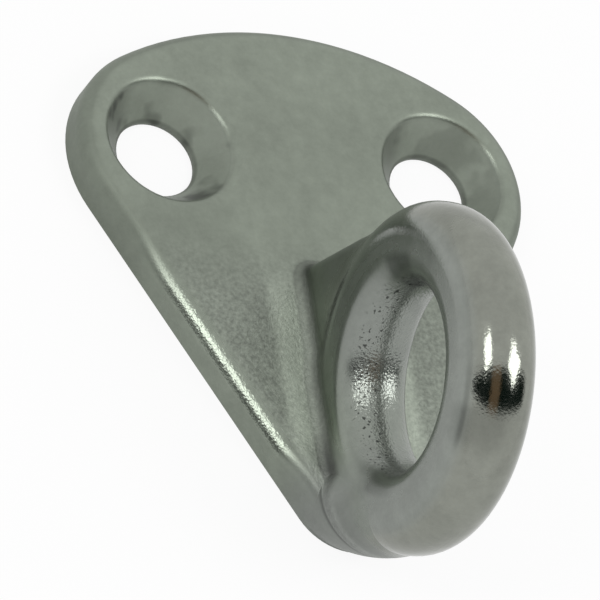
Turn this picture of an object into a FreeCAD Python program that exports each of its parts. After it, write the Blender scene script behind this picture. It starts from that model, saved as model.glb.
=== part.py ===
import FreeCAD, Part
import math
import os
from FreeCAD import Vector

# Fender hook: a small deck fitting cast as one piece. A flat base plate with two
# countersunk screw holes carries a closed round eye, which stands on the plate's
# narrow end and overhangs it. A web ties the back of the eye down to the plate.
#
# Frame: the plate's back face lies in the XY plane and the eye stands up along +Z.
# X runs along the line of the two screw holes and Y points away from the eye. The
# origin is midway between the holes on the back face. The form is symmetric about x = 0.

# Base plate, in millimetres
plate_thickness = 3.5
lobe_radius = 9.4
lobe_inset = 2.0
lobe_setback = 0.25
crown_radius = 29.0
tip_lead = 2.5
tip_radius = 4.8
top_edge_radius = 1.5

# Screw holes
screw_spacing = 24.0
screw_hole_diameter = 6.6
hole_wall_height = 0.47
countersink_angle = 72.0
rim_radius = 0.9
hole_edge_radius = 0.25

# Eye: the limb has a flat land round the bore, rounded lips and a full round outside
eye_setback = 25.6
limb_rise = 1.0
eye_bore_diameter = 14.0
limb_depth = 6.2
limb_width = 6.0
lip_radius = 2.0
crest_flat = 0.3
toe_sink = 0.1
toe_bulge = 0.2

# Web between the eye and the plate
web_lean = 15.0
web_heel_inset = 0.6
web_root_inset = 0.2
web_corner_radius = 0.9
web_blend_radius = 3.0
fillet_radius = 1.2

# Reach of cutting solids past a face, and the distance at which two places are one
overrun = 5.0
same_place = 1e-3

# Sizes and places that follow from the driving dimensions
hole_radius = screw_hole_diameter / 2
countersink_slope = math.tan(math.radians(countersink_angle / 2))
rim_circle_radius = hole_radius + (plate_thickness - hole_wall_height) * countersink_slope
bore_radius = eye_bore_diameter / 2
eye_radius = bore_radius + limb_depth
crest_radius = (limb_width - crest_flat) / 2
eye_height = eye_radius + limb_rise
eye_centre = Vector(0, -eye_setback, eye_height)
tip_centre = Vector(0, -eye_setback - tip_lead, 0)
web_heel_width = limb_width - 2 * web_heel_inset
web_root_width = limb_width - 2 * web_root_inset
lean = math.radians(web_lean)


def polar(centre, radius, angle):
    """Point on a circle in the XY plane, at an angle in radians from +X."""
    return centre + Vector(radius * math.cos(angle), radius * math.sin(angle), 0)


def arc(centre, radius, start, end):
    """Circular edge in the XY plane, from one angle to another."""
    points = [polar(centre, radius, angle) for angle in (start, (start + end) / 2, end)]
    return Part.Arc(*points).toShape()


def line(start, end):
    """Straight edge between two points."""
    return Part.LineSegment(start, end).toShape()


def edges_at_height(solid, height):
    """Edges that lie wholly in one horizontal plane."""
    return [edge for edge in solid.Edges
            if abs(edge.BoundBox.ZMin - height) < same_place
            and abs(edge.BoundBox.ZMax - height) < same_place]


def is_round(edge, radius):
    """Whether an edge is circular with the given radius."""
    return isinstance(edge.Curve, Part.Circle) and abs(edge.Curve.Radius - radius) < same_place


def junction_edges(body, pairs):
    """Edges of a fused body that lie on the surfaces of both parts of a pair."""
    def on_surface(edge, part):
        span = edge.LastParameter - edge.FirstParameter
        vertices = [Part.Vertex(edge.valueAt(edge.FirstParameter + share * span)) for share in (0.1, 0.5, 0.9)]
        return all(vertex.distToShape(part.Shells[0])[0] < same_place for vertex in vertices)
    return [edge for edge in body.Edges
            if any(on_surface(edge, first) and on_surface(edge, second) for first, second in pairs)]


def plate_outline():
    """Two lobes with a shallow crown between them, and straight sides that run
    tangentially from the lobes to the round tip under the eye."""
    lobe_x = screw_spacing / 2 - lobe_inset
    crown_drop = math.sqrt((crown_radius - lobe_radius) ** 2 - lobe_x ** 2)
    right_lobe = Vector(lobe_x, -lobe_setback, 0)
    left_lobe = Vector(-lobe_x, -lobe_setback, 0)
    crown = Vector(0, -lobe_setback - crown_drop, 0)
    to_lobe = right_lobe - tip_centre
    crown_angle = math.atan2(crown_drop, lobe_x)
    side_angle = math.atan2(to_lobe.y, to_lobe.x) - math.acos((tip_radius - lobe_radius) / to_lobe.Length)
    mirrored = math.pi - side_angle
    return Part.Wire([
        arc(right_lobe, lobe_radius, side_angle, crown_angle),
        arc(crown, crown_radius, crown_angle, math.pi - crown_angle),
        arc(left_lobe, lobe_radius, math.pi - crown_angle, mirrored),
        line(polar(left_lobe, lobe_radius, mirrored), polar(tip_centre, tip_radius, mirrored)),
        arc(tip_centre, tip_radius, mirrored, 2 * math.pi + side_angle),
        line(polar(tip_centre, tip_radius, side_angle), polar(right_lobe, lobe_radius, side_angle)),
    ])


def base_plate():
    """Flat plate with a soft top edge."""
    plate = Part.Face(plate_outline()).extrude(Vector(0, 0, plate_thickness))
    return plate.makeFillet(top_edge_radius, edges_at_height(plate, plate_thickness))


def eye_side(y, z):
    """Point on the eye's left side face, given from the eye's centre."""
    return eye_centre + Vector(-limb_width / 2, y, z)


def eye_ring():
    """Round eye. The bore keeps a flat land between its rounded lips, and the outside
    is rounded over nearly to a half circle."""
    ring = Part.makeCylinder(eye_radius, limb_width, eye_side(0, 0), Vector(1, 0, 0))
    ring = ring.cut(Part.makeCylinder(bore_radius, limb_width, eye_side(0, 0), Vector(1, 0, 0)))
    ring = ring.makeFillet(lip_radius, [edge for edge in ring.Edges if is_round(edge, bore_radius)])
    return ring.makeFillet(crest_radius, [edge for edge in ring.Edges if is_round(edge, eye_radius)])


def toe():
    """Round flare under the eye. Seen from the side, its outer line runs from the
    plate's tip at the back face up to the limb, bowed out a little on the way. It
    widens downwards to fill the tip. Its ends stop just under both surfaces, and its
    inner side stays clear of the bore and its lips."""
    foot_radius = tip_radius - toe_sink
    to_foot = tip_centre - Vector(0, foot_radius, 0) - eye_centre
    angle = math.atan2(-to_foot.z, -to_foot.y) - math.acos(eye_radius / to_foot.Length)
    mid_circle = eye_radius - crest_radius
    top_centre = eye_centre - Vector(0, mid_circle * math.cos(angle), mid_circle * math.sin(angle))
    upward = Vector(0, -math.sin(angle), math.cos(angle))
    foot = Part.makeCircle(foot_radius, tip_centre, Vector(0, 0, 1))
    waist_centre = (tip_centre + top_centre) / 2 + toe_bulge * Vector(0, -upward.z, upward.y)
    waist_radius = (foot_radius + crest_radius - toe_sink) / 2
    waist = Part.makeCircle(waist_radius, waist_centre, Vector(0, 0, 1) + upward)
    top = Part.makeCircle(crest_radius - toe_sink, top_centre, upward)
    flare = Part.makeLoft([Part.Wire(foot), Part.Wire(waist), Part.Wire(top)], True)
    room_end = eye_centre - Vector(2 * tip_radius, 0, 0)
    room = Part.makeCylinder(bore_radius + lip_radius, 4 * tip_radius, room_end, Vector(1, 0, 0))
    return flare.cut(room)


def web():
    """Web under the back of the eye. Seen from the side, its heel leans towards the
    eye and runs tangentially into the limb, where the limb is as wide as the web.
    Seen from above, it widens from the heel to the root of the eye."""
    crest_inset = web_heel_width / 2 - (limb_width / 2 - crest_radius)
    reach = eye_radius - crest_radius + math.sqrt(crest_radius ** 2 - crest_inset ** 2)
    mid_limb = (bore_radius + eye_radius) / 2
    foot_z = plate_thickness / 2

    def on_limb(angle):
        return eye_side(mid_limb * math.cos(angle), mid_limb * math.sin(angle))
    drop = foot_z - eye_height
    heel_foot = eye_side((reach - drop * math.sin(lean)) / math.cos(lean), drop)
    heel_top = eye_side(reach * math.cos(lean), reach * math.sin(lean))
    root_foot = eye_side(0, drop)
    under_limb = Part.Arc(on_limb(-math.pi / 2), on_limb((lean - math.pi / 2) / 2), on_limb(lean)).toShape()
    side = Part.Wire([
        line(heel_top, heel_foot),
        line(heel_foot, root_foot),
        line(root_foot, on_limb(-math.pi / 2)),
        under_limb,
        line(on_limb(lean), heel_top),
    ])
    slab = Part.Face(side).extrude(Vector(limb_width, 0, 0))
    heel, root = web_heel_width / 2, web_root_width / 2
    corners = [Vector(-root, -eye_setback, 0), Vector(root, -eye_setback, 0),
               Vector(heel, heel_foot.y, 0), Vector(-heel, heel_foot.y, 0)]
    plan = Part.Face(Part.makePolygon(corners + corners[:1]))
    wedge = plan.extrude(Vector(0, 0, eye_height + eye_radius))
    solid = slab.common(wedge)

    def on_heel(point):
        from_eye = point - eye_centre
        return abs(from_eye.y * math.cos(lean) + from_eye.z * math.sin(lean) - reach) < same_place
    heel_corners = [edge for edge in solid.Edges
                    if all(on_heel(vertex.Point) for vertex in edge.Vertexes)
                    and edge.BoundBox.ZLength > same_place]
    return solid.makeFillet(web_corner_radius, heel_corners)


def screw_hole(x):
    """Revolved cutter for one hole: a short straight wall at the back face, then the
    countersink's cone, which opens up to the plate's face."""
    points = [
        Vector(x, 0, -overrun),
        Vector(x + hole_radius, 0, -overrun),
        Vector(x + hole_radius, 0, hole_wall_height),
        Vector(x + rim_circle_radius + overrun * countersink_slope, 0, plate_thickness + overrun),
        Vector(x, 0, plate_thickness + overrun),
    ]
    profile = Part.Face(Part.makePolygon(points + points[:1]))
    return profile.revolve(Vector(x, 0, 0), Vector(0, 0, 1), 360)


def soften_hole(plate, x):
    """Rounded countersink rim and back edge of one hole."""
    def circle(height, radius):
        return [edge for edge in edges_at_height(plate, height)
                if is_round(edge, radius) and abs(edge.Curve.Center.x - x) < same_place]
    rim = circle(plate_thickness, rim_circle_radius)
    plate = plate.makeFillet(rim_radius, rim)
    return plate.makeFillet(hole_edge_radius, circle(0, hole_radius))


def fender_hook():
    """The whole casting."""
    plate = base_plate()
    ring = eye_ring()
    support = web()
    casting = plate.fuse([ring, support]).removeSplitter()
    casting = casting.makeFillet(web_blend_radius, junction_edges(casting, [(ring, support)]))
    creases = junction_edges(casting, [(plate, ring), (plate, support)])
    casting = casting.makeFillet(fillet_radius, creases)
    casting = casting.fuse(toe()).removeSplitter()
    for x in (-screw_spacing / 2, screw_spacing / 2):
        casting = soften_hole(casting.cut(screw_hole(x)), x)
    return casting


os.makedirs("parts", exist_ok=True)
fender_hook().exportStep("parts/fender_hook_casting.step")
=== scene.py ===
import math
from types import SimpleNamespace

import bpy
from mathutils import Matrix, Vector

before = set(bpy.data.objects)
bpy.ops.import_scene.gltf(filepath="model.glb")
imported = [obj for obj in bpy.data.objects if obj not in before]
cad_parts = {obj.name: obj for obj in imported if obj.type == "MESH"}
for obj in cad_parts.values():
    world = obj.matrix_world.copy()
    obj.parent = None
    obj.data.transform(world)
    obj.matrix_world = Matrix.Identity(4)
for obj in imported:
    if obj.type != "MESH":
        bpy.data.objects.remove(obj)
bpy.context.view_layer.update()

# The casting: plate, web and eye poured as one piece of stainless steel and tumbled to
# a soft satin. The bore and the low end of the plate keep the grain of the mould, and
# the outside of the eye is polished. The solid's own mesh is kept and takes this finish.
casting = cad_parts["fender_hook_casting"]
MM = 0.001
EYE_CENTRE = (0.0, -0.0256, 0.0142)
BORE_RADIUS = 0.0070
HOLE_X = 0.012
PLATE_STEEL = (0.238, 0.266, 0.222)
LIMB_STEEL = (0.242, 0.259, 0.237)
FRONT_STEEL = (0.247, 0.258, 0.226)
PLATE_ROUGHNESS = 0.38
RIGHT_HOLE_SHARE = 0.5
RELIEF_DEPTH = 0.00003
CROWN_LEAN = -0.55
SHOULDER_LEAN = 0.45


def add_node(tree, kind, values=(), links=(), **settings):
    """Adds a shader node, with its settings, its socket values and what feeds its sockets."""
    node = tree.nodes.new(kind)
    for name, value in settings.items():
        setattr(node, name, value)
    for socket, value in dict(values).items():
        node.inputs[socket].default_value = value
    for socket, source in dict(links).items():
        tree.links.new(source, node.inputs[socket])
    return node


def add_math(tree, operation, first, second=0.0, third=0.0):
    """One operation on up to three terms, each a number or another node's output."""
    node = tree.nodes.new("ShaderNodeMath")
    node.operation = operation
    for socket, term in enumerate((first, second, third)):
        if isinstance(term, (int, float)):
            node.inputs[socket].default_value = term
        else:
            tree.links.new(term, node.inputs[socket])
    return node.outputs[0]


def ramp(tree, source, start, end, low=0.0, high=1.0):
    """A value that goes smoothly from low to high as its source goes from start to end."""
    node = add_node(tree, "ShaderNodeMapRange", {1: start, 2: end, 3: low, 4: high}, {0: source},
                    interpolation_type="SMOOTHSTEP")
    return node.outputs[0]


def product(tree, *masks):
    """Product of several masks."""
    result = masks[0]
    for mask in masks[1:]:
        result = add_math(tree, "MULTIPLY", result, mask)
    return result


def without(tree, mask):
    """Mask of what another leaves out."""
    return add_math(tree, "SUBTRACT", 1.0, mask)


def within(tree, *steps):
    """Mask of where every step is full. A step is a length, with the value at which it
    starts and the value from which it is full, in millimetres."""
    return product(tree, *(ramp(tree, source, start * MM, full * MM) for source, start, full in steps))


def weighted_sum(tree, start, *terms):
    """A start value plus each term's value times its weight."""
    total = start
    for value, weight in terms:
        total = add_math(tree, "MULTIPLY_ADD", value, weight, total)
    return total


def blend(tree, start, *layers):
    """A start value, replaced under each layer's mask in turn by that layer's value."""
    result = start
    for mask, value in layers:
        result = add_math(tree, "MULTIPLY_ADD", mask, add_math(tree, "SUBTRACT", value, result), result)
    return result


def distance(tree, first, second):
    """Length of the diagonal of two offsets."""
    return add_math(tree, "SQRT", weighted_sum(tree, 0.0, (second, second), (first, first)))


def grain(tree, place, scale, detail, roughness):
    """Soft random pattern with so many waves a metre, from about -0.3 to 0.3."""
    values = {"Scale": scale, "Detail": detail, "Roughness": roughness}
    noise = add_node(tree, "ShaderNodeTexNoise", values, {"Vector": place}).outputs["Fac"]
    return add_math(tree, "SUBTRACT", noise, 0.5)


def mix_colour(tree, factor, first, second):
    """Colour between two others, each a tuple or another node's output."""
    node = add_node(tree, "ShaderNodeMix", links={0: factor}, data_type="RGBA")
    for socket, colour in ((6, first), (7, second)):
        if isinstance(colour, tuple):
            node.inputs[socket].default_value = (*colour, 1.0)
        else:
            tree.links.new(colour, node.inputs[socket])
    return node.outputs[2]


def find_places(tree):
    """The coordinates that the patterns read, and a mask for each region of the surface."""
    at = SimpleNamespace()
    at.place = add_node(tree, "ShaderNodeTexCoord").outputs["Object"]
    across, along, up = add_node(tree, "ShaderNodeSeparateXYZ", links={0: at.place}).outputs
    half_width = add_math(tree, "ABSOLUTE", across)
    back = add_math(tree, "SUBTRACT", along, EYE_CENTRE[1])
    rise = add_math(tree, "SUBTRACT", up, EYE_CENTRE[2])
    from_eye = distance(tree, back, rise)
    from_hole = distance(tree, add_math(tree, "SUBTRACT", half_width, HOLE_X), along)
    turn = add_math(tree, "ARCTAN2", rise, back)
    at.across = across
    at.turn = turn

    # The plate: what stands above it, its face, its rounded edge near the eye, its edge further off
    # and its tip, both with painted shade, a slightly darker patch of the face, and the leaned shoulder
    at.raised = within(tree, (up, 3.6, 4.8))
    flat = without(tree, at.raised)
    face = within(tree, (up, 3.25, 3.48))
    edge = product(tree, flat, without(tree, face))
    low_end = within(tree, (along, -7.0, -16.0))
    at.corner = product(tree, low_end, flat, face)
    at.rubbed = product(tree, low_end, edge, within(tree, (along, -27.5, -25.5)))
    at.high_edge = product(tree, edge, without(tree, low_end))
    at.handled = product(tree, face, flat, within(
        tree, (along, -4.0, -8.0), (along, -15.0, -11.0), (half_width, 5.0, 9.0)))
    at.tip = product(tree, flat, within(tree, (up, 2.9, 3.3), (along, -24.0, -27.5)))
    at.shoulder = within(
        tree, (up, 1.3, 2.2), (up, 3.6, 3.4), (along, -7.5, -12.5), (along, -28.5, -25.5))

    # The screw holes: cone, rim, straight wall, and the cone's sides in shade; wall and sides have
    # painted shade
    at.cone = within(tree, (from_hole, 5.5, 5.1))
    at.rim = within(tree, (from_hole, 5.1, 5.4), (from_hole, 6.3, 6.0))
    at.wall = within(tree, (from_hole, 3.56, 3.40))
    hole_x = add_math(tree, "MULTIPLY", add_math(tree, "SIGN", across), HOLE_X)
    cone_left = within(tree, (add_math(tree, "SUBTRACT", across, hole_x), -1.8, -4.0))
    cone_low = within(tree, (along, -2.8, -4.4))
    at.shade = product(tree, at.cone, add_math(tree, "MAXIMUM", cone_left, cone_low))

    # The web: its sides, its foot's crease with painted shade, and the plate beside it with painted
    # light
    at.web_side = product(tree, at.raised, within(
        tree, (from_eye, 9.2, 10.0), (up, 20.0, 17.0), (along, -27.0, -24.0)))
    at.crease = within(
        tree, (up, 3.49, 3.56), (up, 5.0, 4.2), (half_width, 5.6, 4.8), (along, -31.0, -28.0))
    at.crease_top = within(tree, (up, 3.6, 4.0))
    at.beside_web = product(tree, at.corner, within(
        tree, (half_width, 6.4, 5.0), (along, -9.0, -14.0)))

    # The eye's bore: lips and land, the left half of the land, two shaded stretches of the
    # lips, and the left half of the bore, which is leaned
    at.throat = within(tree, (from_eye, 9.4, 8.6))
    at.land = within(tree, (from_eye, 8.2, 7.4), (half_width, 2.5, 1.8))
    at.land_left = product(tree, at.land, within(tree, (across, 0.4, -0.6)))
    at.patch = product(tree, at.throat, ramp(tree, turn, 0.20, 0.32), ramp(tree, turn, 0.75, 0.62))
    at.low_lip = product(tree, at.throat, ramp(tree, turn, -2.26, -2.42), ramp(tree, turn, -2.95, -2.60),
                         within(tree, (across, -1.0, -2.0)))
    at.crown = product(tree, at.throat, within(tree, (across, 1.0, -1.2), (across, -3.4, -0.8)))

    # The eye's limb: all of it, its outside, and painted dark reflection on its side and below the dark
    # bar
    at.limb = within(
        tree, (from_eye, 9.2, 11.8), (from_eye, 14.0, 13.4), (up, 5.0, 8.0), (along, -12.0, -16.0))
    at.front = product(tree, at.limb, within(tree, (half_width, 2.9, 2.2)))
    at.brink = product(tree, at.limb, within(tree, (half_width, 2.9, 2.75), (half_width, 2.55, 2.7)))
    at.brink_low = product(tree, ramp(tree, turn, 1.85, 2.20), ramp(tree, turn, 2.62, 2.42))
    at.below_bar = product(tree, at.limb, ramp(tree, turn, 2.22, 2.31), ramp(tree, turn, 2.58, 2.43),
                           within(tree, (across, 0.8, -0.6)))

    # The toe: all of it and its seam with the plate's edge, both darkened by painted shade, and its
    # sides. Then the toe together with all that stands on the plate
    at.foot = within(tree, (along, -26.0, -31.0), (up, 9.5, 5.0))
    at.toe_rim = within(tree, (up, 2.9, 3.4), (up, 4.4, 3.8), (along, -29.0, -30.6))
    at.toe_side = within(
        tree, (up, 4.0, 4.7), (up, 8.5, 6.2), (along, -24.5, -27.5), (along, -32.5, -30.0),
        (half_width, 2.6, 3.0))
    at.standing = add_math(tree, "MAXIMUM", at.foot, within(tree, (up, 4.0, 9.0)))
    return at


def find_grains(tree, at):
    """Random patterns from coarse to fine. The scratches run round the bore."""
    around = add_math(tree, "MULTIPLY", at.turn, BORE_RADIUS / 2)
    wrapped = add_node(tree, "ShaderNodeCombineXYZ", links={0: at.across, 1: around}).outputs[0]
    return SimpleNamespace(
        broad=grain(tree, at.place, 110.0, 4.0, 0.6),
        clouds=grain(tree, at.place, 330.0, 2.0, 0.5),
        mottle=grain(tree, at.place, 600.0, 4.0, 0.7),
        grit=grain(tree, at.place, 2800.0, 3.0, 0.6),
        specks=ramp(tree, grain(tree, at.place, 4000.0, 0.0, 0.5), -0.17, -0.23),
        sand=grain(tree, at.place, 5000.0, 1.0, 0.5),
        fine=grain(tree, at.place, 8000.0, 2.0, 0.6),
        scratches=grain(tree, wrapped, 9000.0, 2.0, 0.6),
    )


def steel_colour(tree, at, grains):
    """Three near greys with the mould's mottle and grit, painted light, stains and painted shade."""
    grit_share = weighted_sum(tree, 0.16, (at.corner, 1.35))
    limb_sides = add_math(tree, "SUBTRACT", at.limb, at.front)
    # Painted light makes the plate beside the web lighter
    tone = weighted_sum(
        tree, 1.0, (grains.mottle, 0.40), (grains.broad, 0.40), (grains.grit, grit_share),
        (at.beside_web, 0.85), (at.cone, 0.30), (at.toe_side, 0.30), (limb_sides, 0.09))
    hole_share = ramp(tree, at.across, 4.0 * MM, -4.0 * MM, RIGHT_HOLE_SHARE, 1.0)
    cone_clouds = product(tree, at.cone, ramp(tree, grains.clouds, 0.00, -0.13), hole_share)
    stains_and_painted_shade = weighted_sum(
        tree, 0.0,
        # Painted shade in the crease at the web's foot, deeper higher up
        (at.crease, weighted_sum(tree, 0.42, (at.crease_top, 0.22))),
        (cone_clouds, 0.32),
        # Painted shade on the cones' shaded sides and on the holes' straight walls
        (at.shade, 0.30),
        (at.wall, 0.30),
        # Painted shade over the toe's seam and on the plate's tip
        (at.toe_rim, 0.22),
        (at.tip, 0.24),
        # Painted dark reflection along the limb's side and below the dark bar
        (at.brink, weighted_sum(tree, 0.05, (at.brink_low, 0.22))),
        (at.below_bar, 0.22),
        # A patch of the face, a little darker
        (at.handled, 0.08),
        # Painted shade on two stretches of the bore's lips
        (at.patch, 0.40),
        (at.low_lip, 0.30),
        # Painted shade on the plate's edge away from the eye
        (at.high_edge, 0.15),
        (product(tree, at.land_left, grains.specks), 0.75),
        # Painted shade on the toe, deeper where it rises
        (at.foot, weighted_sum(tree, 0.12, (at.raised, 0.10))))
    tone = product(tree, tone, without(tree, stains_and_painted_shade))
    steel = mix_colour(tree, at.standing, PLATE_STEEL, LIMB_STEEL)
    steel = mix_colour(tree, at.front, steel, FRONT_STEEL)
    scaled = add_node(tree, "ShaderNodeVectorMath", (), {0: steel, "Scale": tone}, operation="SCALE")
    return scaled.outputs[0]


def steel_metallic(tree, at):
    """Metal, less so where the mould's skin is left."""
    skin = weighted_sum(
        tree, 0.0,
        (at.cone, 0.70),
        (at.corner, 0.80),
        (product(tree, at.foot, without(tree, at.corner)), 0.30),
        (at.toe_side, 0.40),
        (at.land, 0.16))
    return without(tree, skin)


def steel_roughness(tree, at, grains):
    """Satin on the plate, smoother up the web and the bore, and polished on the limb."""
    rough = blend(
        tree, PLATE_ROUGHNESS,
        (at.high_edge, 0.55),
        (at.rubbed, 0.22),
        (at.cone, 0.50),
        (at.rim, 0.34),
        (at.raised, 0.27),
        (at.web_side, 0.34),
        (at.throat, 0.24),
        (at.land, 0.18),
        (at.foot, 0.42),
        (at.limb, 0.12))
    return weighted_sum(tree, rough, (grains.mottle, 0.10))


def steel_normal(tree, at, grains):
    """Sandy relief. The bore is shaded as if it were crowned, with its crest right of the
    middle, and the plate's low shoulders as if they were rounder than the solid's."""
    sandy = weighted_sum(tree, 0.0, (at.rubbed, 0.8), (at.limb, 1.3), (at.corner, 2.0), (at.land, 1.3))
    relief = weighted_sum(
        tree, 0.0, (grains.fine, weighted_sum(tree, 0.25, (at.corner, 0.9))), (grains.sand, sandy),
        (grains.scratches, add_math(tree, "MULTIPLY", at.land, 0.6)))
    relief = product(tree, relief, weighted_sum(tree, 1.0, (at.limb, -0.8)))
    lean = add_node(tree, "ShaderNodeCombineXYZ", links={
        0: add_math(tree, "MULTIPLY", at.crown, CROWN_LEAN),
        2: add_math(tree, "MULTIPLY", at.shoulder, SHOULDER_LEAN)}).outputs[0]
    facing = add_node(tree, "ShaderNodeNewGeometry").outputs["Normal"]
    leaned = add_node(tree, "ShaderNodeVectorMath", (), {0: facing, 1: lean}, operation="ADD").outputs[0]
    leaned = add_node(tree, "ShaderNodeVectorMath", (), {0: leaned}, operation="NORMALIZE").outputs[0]
    bump = add_node(tree, "ShaderNodeBump", {"Strength": 1.0, "Distance": RELIEF_DEPTH},
                    {"Height": relief, "Normal": leaned})
    return bump.outputs[0]


def cast_stainless():
    """The casting's finish, all from its own coordinates."""
    material = bpy.data.materials.new("cast_stainless")
    material.use_nodes = True
    tree = material.node_tree
    shader = tree.nodes["Principled BSDF"]
    at = find_places(tree)
    grains = find_grains(tree, at)
    tree.links.new(steel_colour(tree, at, grains), shader.inputs["Base Color"])
    tree.links.new(steel_metallic(tree, at), shader.inputs["Metallic"])
    tree.links.new(steel_roughness(tree, at, grains), shader.inputs["Roughness"])
    tree.links.new(steel_normal(tree, at, grains), shader.inputs["Normal"])
    return material


for index in range(len(casting.data.materials)):
    casting.data.materials[index] = cast_stainless()

# The floor: a plain white sheet, just under the plate's back face, that keeps the
# fitting's soft shadow. The camera and polished steel see it nearly as a white light.
FLOOR_HALF = 3.0
FLOOR_Z = -0.00002
PAPER = (0.9, 0.9, 0.9)
PAPER_ROUGHNESS = 0.9
WHITE = (1.0, 1.0, 1.0)
GLOW_SHARE = 0.9
GLOSSY_SHARE = 0.6
floor_mesh = bpy.data.meshes.new("floor")
signs = ((-1, -1), (1, -1), (1, 1), (-1, 1))
corners = [(x * FLOOR_HALF, y * FLOOR_HALF, FLOOR_Z) for x, y in signs]
floor_mesh.from_pydata(corners, [], [(0, 1, 2, 3)])
floor = bpy.data.objects.new("floor", floor_mesh)
bpy.context.scene.collection.objects.link(floor)
paper = bpy.data.materials.new("white_paper")
paper.use_nodes = True
tree = paper.node_tree
shader = tree.nodes["Principled BSDF"]
shader.inputs["Base Color"].default_value = (*PAPER, 1.0)
shader.inputs["Roughness"].default_value = PAPER_ROUGHNESS
shader.inputs["Specular IOR Level"].default_value = 0.0
path = add_node(tree, "ShaderNodeLightPath").outputs
seen = add_math(tree, "MAXIMUM", path["Is Camera Ray"], path["Is Transmission Ray"])
seen = weighted_sum(tree, seen, (path["Is Glossy Ray"], GLOSSY_SHARE))
glow = add_node(tree, "ShaderNodeEmission", {"Color": (*WHITE, 1.0), "Strength": 1.0})
mixed = add_node(tree, "ShaderNodeMixShader", links={
    0: add_math(tree, "MULTIPLY", seen, GLOW_SHARE), 1: shader.outputs[0], 2: glow.outputs[0]})
tree.links.new(mixed.outputs[0], tree.nodes["Material Output"].inputs["Surface"])
floor_mesh.materials.append(paper)

# The light: a white studio all round, with a dark bar across the camera's side, which only
# reflections show, and a brown stripe in it. The bar's height is in degrees about the X axis,
# and its end and its stripe are the X of a direction. A soft lamp hangs above each end of it.
BAR_LOW = 42.0
BAR_HIGH = 69.0
BAR_EDGE = 4.0
BAR_END = (0.97, 0.88)
STRIPE_LEFT = (-0.56, -0.38)
STRIPE_RIGHT = (0.02, -0.14)
BAR_COLOUR = (0.0, 0.010, 0.006)
STRIPE_COLOUR = (0.27, 0.18, 0.11)
DIFFUSE_CUT = -0.25
LAMP_DISTANCE = 0.8
LAMP_RADIANCE = 4.5
world = bpy.data.worlds.new("studio")
bpy.context.scene.world = world
world.use_nodes = True
tree = world.node_tree
direction = add_node(tree, "ShaderNodeTexCoord").outputs["Generated"]
side, depth, lift = add_node(tree, "ShaderNodeSeparateXYZ", links={0: direction}).outputs
angle = add_math(tree, "ARCTAN2", lift, add_math(tree, "MULTIPLY", depth, -1.0))
above = ramp(tree, angle, math.radians(BAR_LOW - BAR_EDGE), math.radians(BAR_LOW + BAR_EDGE))
below = ramp(tree, angle, math.radians(BAR_HIGH + BAR_EDGE), math.radians(BAR_HIGH - BAR_EDGE))
path = add_node(tree, "ShaderNodeLightPath").outputs
bar = product(tree, above, below, ramp(tree, side, *BAR_END), path["Is Glossy Ray"])
stripe = product(tree, ramp(tree, side, *STRIPE_LEFT), ramp(tree, side, *STRIPE_RIGHT))
dark = mix_colour(tree, stripe, BAR_COLOUR, STRIPE_COLOUR)
background = tree.nodes["Background"]
tree.links.new(mix_colour(tree, bar, WHITE, dark), background.inputs["Color"])
level = weighted_sum(tree, 1.0, (path["Is Diffuse Ray"], DIFFUSE_CUT))
tree.links.new(level, background.inputs["Strength"])


def add_lamp(name, towards, width, height):
    """Soft rectangular lamp in a given direction, turned to the fitting."""
    data = bpy.data.lights.new(name, "AREA")
    data.shape = "RECTANGLE"
    data.size = width
    data.size_y = height
    data.energy = LAMP_RADIANCE * math.pi * width * height
    lamp = bpy.data.objects.new(name, data)
    towards = Vector(towards).normalized()
    lamp.location = Vector(EYE_CENTRE) + towards * LAMP_DISTANCE
    lamp.rotation_mode = "QUATERNION"
    lamp.rotation_quaternion = towards.to_track_quat("Z", "Y")
    bpy.context.scene.collection.objects.link(lamp)


add_lamp("left_lamp", (-0.67, -0.09, 0.74), width=0.24, height=0.27)
add_lamp("right_lamp", (0.505, -0.255, 0.82), width=0.27, height=0.29)

# The camera: a long lens above the plate's left side, as in the photograph. Its three
# axes are given as directions in the frame.
CAMERA_PLACE = (-0.186854, -0.206473, 0.306656)
CAMERA_RIGHT = (0.88405, -0.14712, 0.44363)
CAMERA_UP = (-0.10202, 0.86555, 0.49033)
CAMERA_BACK = (-0.45612, -0.47873, 0.75018)
camera_data = bpy.data.cameras.new("camera")
camera_data.sensor_width = 36.0
camera_data.lens = 317.17
camera_data.shift_x = -0.00938
camera_data.shift_y = -0.00274
camera_data.clip_start = 0.01
camera = bpy.data.objects.new("camera", camera_data)
axes = Matrix((CAMERA_RIGHT, CAMERA_UP, CAMERA_BACK)).transposed().to_4x4()
camera.matrix_world = Matrix.Translation(CAMERA_PLACE) @ axes
bpy.context.scene.collection.objects.link(camera)
bpy.context.scene.camera = camera
bpy.context.scene.view_settings.view_transform = "Standard"
